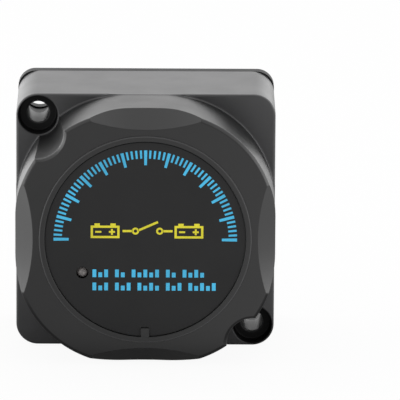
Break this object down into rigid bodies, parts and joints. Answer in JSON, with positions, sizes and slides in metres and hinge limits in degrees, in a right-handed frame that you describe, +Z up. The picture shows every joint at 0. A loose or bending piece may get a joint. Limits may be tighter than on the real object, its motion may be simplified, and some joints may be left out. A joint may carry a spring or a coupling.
{
  "type": "battery isolator relay",
  "caption": "Voltage-sensitive contactor in a square moulded case with a round front, for joining and parting two vehicle batteries.",
  "frame": {"origin": "centre of the rear mounting plane, between the two mounting holes", "axes": "+X right, +Y back into the mounting panel, +Z up; the round front faces -Y and the part stands on its bottom side"},
  "size_m": [0.069, 0.052, 0.069],
  "materials": {
    "case_plastic": "satin moulded black",
    "base_plastic": "matte moulded black",
    "label_film": "matte printed film",
    "led_resin": "clouded clear resin",
    "tin": "tinned wire",
    "copper": "bare copper",
    "plated_nut": "bright zinc",
    "seal_rubber": "matte black rubber",
    "screw_steel": "zinc plated",
    "yoke_steel": "zinc plated sheet",
    "sleeve_brass": "drawn brass",
    "nylon": "natural nylon",
    "enamel_wire": "enamelled copper wire",
    "coil_film": "polyester tape",
    "spring_steel": "drawn spring wire",
    "silver": "silver alloy",
    "board_green": "solder mask",
    "chip_black": "moulded epoxy",
    "can_blue": "printed can sleeve",
    "chip_ceramic": "fired ceramic"
  },
  "bodies": {
    "case": {"housing": "case_plastic", "base": "base_plastic", "label_disc": "label_film", "status_led": "led_resin", "led_leads": "tin", "coil_pins": "tin", "terminal_studs": "copper", "jam_nuts": "plated_nut", "terminal_washers": "plated_nut", "terminal_nuts": "plated_nut", "stud_seals": "seal_rubber", "earth_grommet": "seal_rubber", "case_screws": "screw_steel", "yoke_screws": "screw_steel", "board_screws": "screw_steel", "yoke_frame": "yoke_steel", "yoke_cap": "yoke_steel", "fixed_core": "yoke_steel", "guide_sleeve": "sleeve_brass", "sense_straps": "sleeve_brass", "coil_bobbin": "nylon", "coil_winding": "enamel_wire", "coil_tape": "coil_film", "return_spring": "spring_steel", "post_tips": "silver", "circuit_board": "board_green", "controller_chip": "chip_black", "driver_transistor": "chip_black", "flyback_diode": "chip_black", "surge_suppressor": "chip_black", "chip_resistors": "chip_black", "smoothing_capacitor": "can_blue", "chip_capacitors": "chip_ceramic"},
    "armature": {"plunger": "yoke_steel", "push_rod": "spring_steel", "carrier_bush": "nylon", "spring_cup": "spring_steel", "e_clip": "spring_steel"},
    "bridge": {"contact_bridge": "copper", "bridge_tips": "silver", "contact_spring": "spring_steel"}
  },
  "joints": [
    {"name": "plunger_slide", "type": "slide", "parent": "case", "child": "armature", "axis": [0, 1, 0], "range_m": [0, 0.0026], "stiffness_N_per_m": 1200, "springref_m": -0.003, "deforming": ["return_spring"]},
    {"name": "bridge_slide", "type": "slide", "parent": "case", "child": "bridge", "axis": [0, 1, 0], "range_m": [0, 0.002], "deforming": ["contact_spring"]}
  ],
  "couplings": [
    {"joint": "bridge_slide", "follows": "plunger_slide", "ratio": 0.7692}
  ]
}
